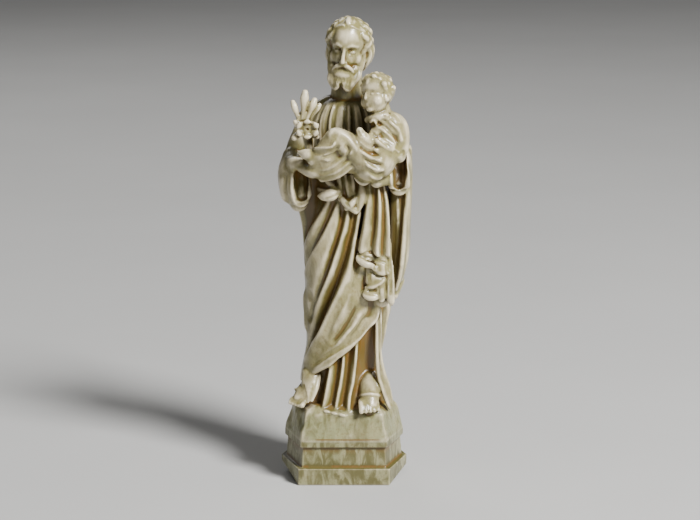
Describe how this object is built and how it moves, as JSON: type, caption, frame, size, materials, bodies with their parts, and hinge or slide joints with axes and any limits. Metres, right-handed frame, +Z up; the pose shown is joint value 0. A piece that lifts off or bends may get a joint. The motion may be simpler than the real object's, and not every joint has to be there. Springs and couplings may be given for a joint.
{
  "type": "saint joseph statue",
  "caption": "Cast standing statuette of a bearded saint with a seated child on one arm and a lily in hand, in one piece with a stepped six-sided plinth.",
  "frame": {"origin": "middle of the plinth's underside, on the surface the statue stands on", "axes": "+Z up, -Y towards the viewer the saint faces, +X towards the arm that holds the child"},
  "size_m": [0.0667, 0.0618, 0.2319],
  "materials": {
    "cast_ivory": "glossy ivory casting with an olive and ochre wash in its recesses"
  },
  "bodies": {
    "root": {"saint_joseph_statue": "cast_ivory"}
  },
  "joints": []
}
